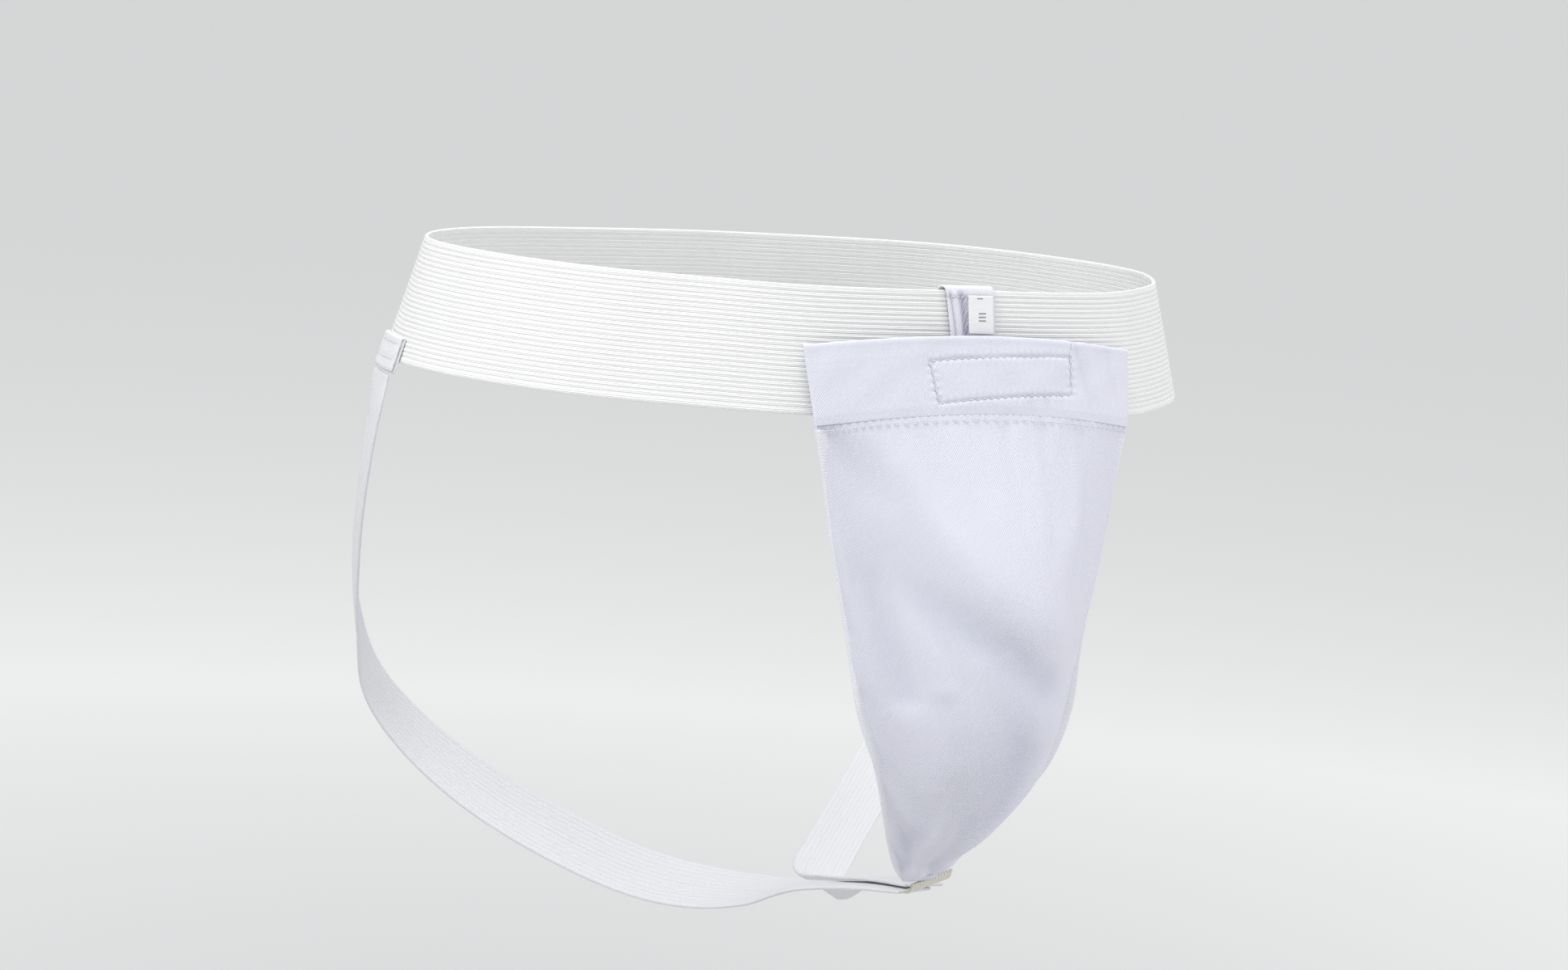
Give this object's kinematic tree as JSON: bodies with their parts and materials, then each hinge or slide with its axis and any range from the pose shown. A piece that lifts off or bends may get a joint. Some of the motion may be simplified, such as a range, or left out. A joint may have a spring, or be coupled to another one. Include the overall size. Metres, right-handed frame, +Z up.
{
  "type": "groin protector",
  "caption": "Cloth pouch with a removable hard cup, hung on a wide ribbed elastic waistband and held under the legs by elastic straps.",
  "frame": {"origin": "centre of the waist opening, in the plane of the waistband's top edge", "axes": "+X towards the wearer's left, -Y towards the wearer's front, +Z up out of the waist opening"},
  "size_m": [0.3622, 0.3042, 0.2736],
  "materials": {
    "band_elastic": "ribbed woven elastic, matt",
    "strap_elastic": "smooth woven elastic, soft sheen",
    "pouch_cotton": "fine cotton twill, matt",
    "hem_cotton": "folded cotton twill, matt",
    "binding_cotton": "cotton edge tape, matt",
    "tab_tape": "woven cotton tape, matt",
    "label_satin": "plain satin ribbon with small grey bars",
    "thread": "polyester sewing thread",
    "patch_cotton": "woven cover patch",
    "hook_tape": "nylon hook tape",
    "loop_tape": "nylon loop tape",
    "cup_plastic": "moulded polypropylene, satin",
    "pad_rubber": "soft moulded edge",
    "crotch_rib": "ribbed knitted elastic"
  },
  "bodies": {
    "waistband": {"waistband": "band_elastic", "join_patch": "patch_cotton", "join_stitches": "thread", "hanger_tab": "tab_tape", "tab_stitches": "thread", "strap_anchor_left": "strap_elastic", "strap_anchor_right": "strap_elastic", "anchor_stitches_left": "thread", "anchor_stitches_right": "thread"},
    "label": {"size_label": "label_satin"},
    "pouch": {"pouch_back": "pouch_cotton", "pouch_front": "pouch_cotton", "hem_stitches": "thread", "loop_strip": "loop_tape", "edge_binding_left": "binding_cotton", "edge_binding_right": "binding_cotton", "leg_strap_left": "strap_elastic", "leg_strap_right": "strap_elastic", "crotch_elastic": "crotch_rib", "crotch_stitches": "thread"},
    "closure_flap": {"top_hem": "hem_cotton", "closure_stitches": "thread", "hook_strip": "hook_tape"},
    "cup": {"cup_shell": "cup_plastic", "cup_edge_pad": "pad_rubber"}
  },
  "joints": [
    {"name": "pouch_swing", "type": "hinge", "parent": "waistband", "child": "pouch", "pos_m": [0, -0.114, -0.023], "axis": [-1, 0, 0], "range_deg": [0, 15], "stiffness_Nm_per_rad": 2, "springref_deg": -5.73},
    {"name": "closure_flap_open", "type": "hinge", "parent": "pouch", "child": "closure_flap", "pos_m": [0, -0.119, -0.049], "axis": [1, 0, 0], "range_deg": [0, 45]},
    {"name": "cup_slide", "type": "slide", "parent": "pouch", "child": "cup", "axis": [0, 0, 1], "range_m": [0, 0.19], "deforming": ["pouch_front", "top_hem", "hem_stitches", "closure_stitches", "hook_strip"]},
    {"name": "label_flip", "type": "hinge", "parent": "waistband", "child": "label", "pos_m": [0.0016, -0.1123, -0.002], "axis": [-1, 0, 0], "range_deg": [0, 150]}
  ]
}
